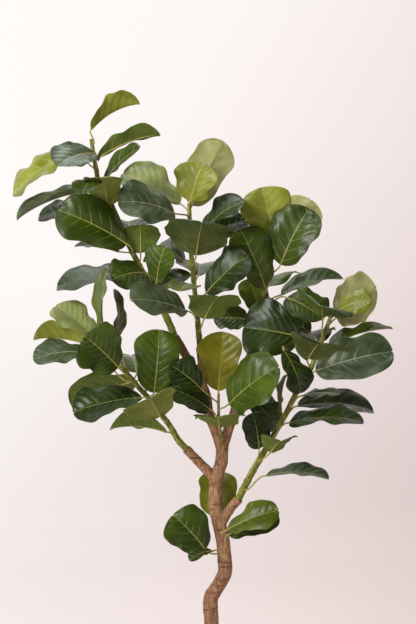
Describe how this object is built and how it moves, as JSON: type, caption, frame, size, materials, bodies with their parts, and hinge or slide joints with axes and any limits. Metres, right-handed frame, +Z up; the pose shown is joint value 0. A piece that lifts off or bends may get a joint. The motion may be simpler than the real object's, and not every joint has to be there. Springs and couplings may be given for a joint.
{
  "type": "potted fiddle leaf fig",
  "caption": "Potted fiddle leaf fig tree: plain tapered pot, soil, a bent forked trunk, green stems and broad glossy leaves.",
  "frame": {"origin": "centre of the pot's flat underside", "axes": "+Z up along the plant, +X to the right and -Y towards the front"},
  "size_m": [1.0344, 0.5103, 1.8081],
  "materials": {
    "pot": "matt off-white",
    "soil": "loose dark potting soil",
    "bark": "matt brown bark",
    "stem": "smooth green shoots",
    "leaf": "leathery, glossy above and matt below"
  },
  "bodies": {
    "root": {"pot": "pot", "soil": "soil", "lower_trunk": "bark", "upper_trunk": "bark", "stem_left": "stem", "stem_centre": "stem", "stem_right": "stem", "branch_right": "stem", "branch_left": "stem", "twig_centre": "stem", "leaf_l01": "leaf", "leaf_l02": "leaf", "leaf_l03": "leaf", "leaf_l04": "leaf", "leaf_l05": "leaf", "leaf_l06": "leaf", "leaf_l10": "leaf", "leaf_l11": "leaf", "leaf_l14": "leaf", "leaf_c01": "leaf", "leaf_c02": "leaf", "leaf_c03": "leaf", "leaf_c04": "leaf", "leaf_c05": "leaf", "leaf_c06": "leaf", "leaf_c07": "leaf", "leaf_c08": "leaf", "leaf_c09": "leaf", "leaf_c10": "leaf", "leaf_r01": "leaf", "leaf_r02": "leaf", "leaf_r03": "leaf", "leaf_r04": "leaf", "leaf_r05": "leaf", "leaf_r06": "leaf", "leaf_r07": "leaf", "leaf_r09": "leaf", "leaf_r10": "leaf", "leaf_r11": "leaf", "leaf_r12": "leaf", "leaf_r14": "leaf", "leaf_r15": "leaf", "leaf_r16": "leaf", "leaf_r17": "leaf", "leaf_r20": "leaf", "leaf_t01": "leaf", "leaf_t02": "leaf", "leaf_t03": "leaf", "leaf_b01": "leaf", "leaf_b02": "leaf", "leaf_b04": "leaf", "leaf_b05": "leaf", "leaf_b06": "leaf", "leaf_b08": "leaf", "leaf_b09": "leaf", "leaf_b10": "leaf", "leaf_b11": "leaf", "leaf_k01": "leaf", "leaf_k04": "leaf", "leaf_k05": "leaf"}
  },
  "joints": []
}
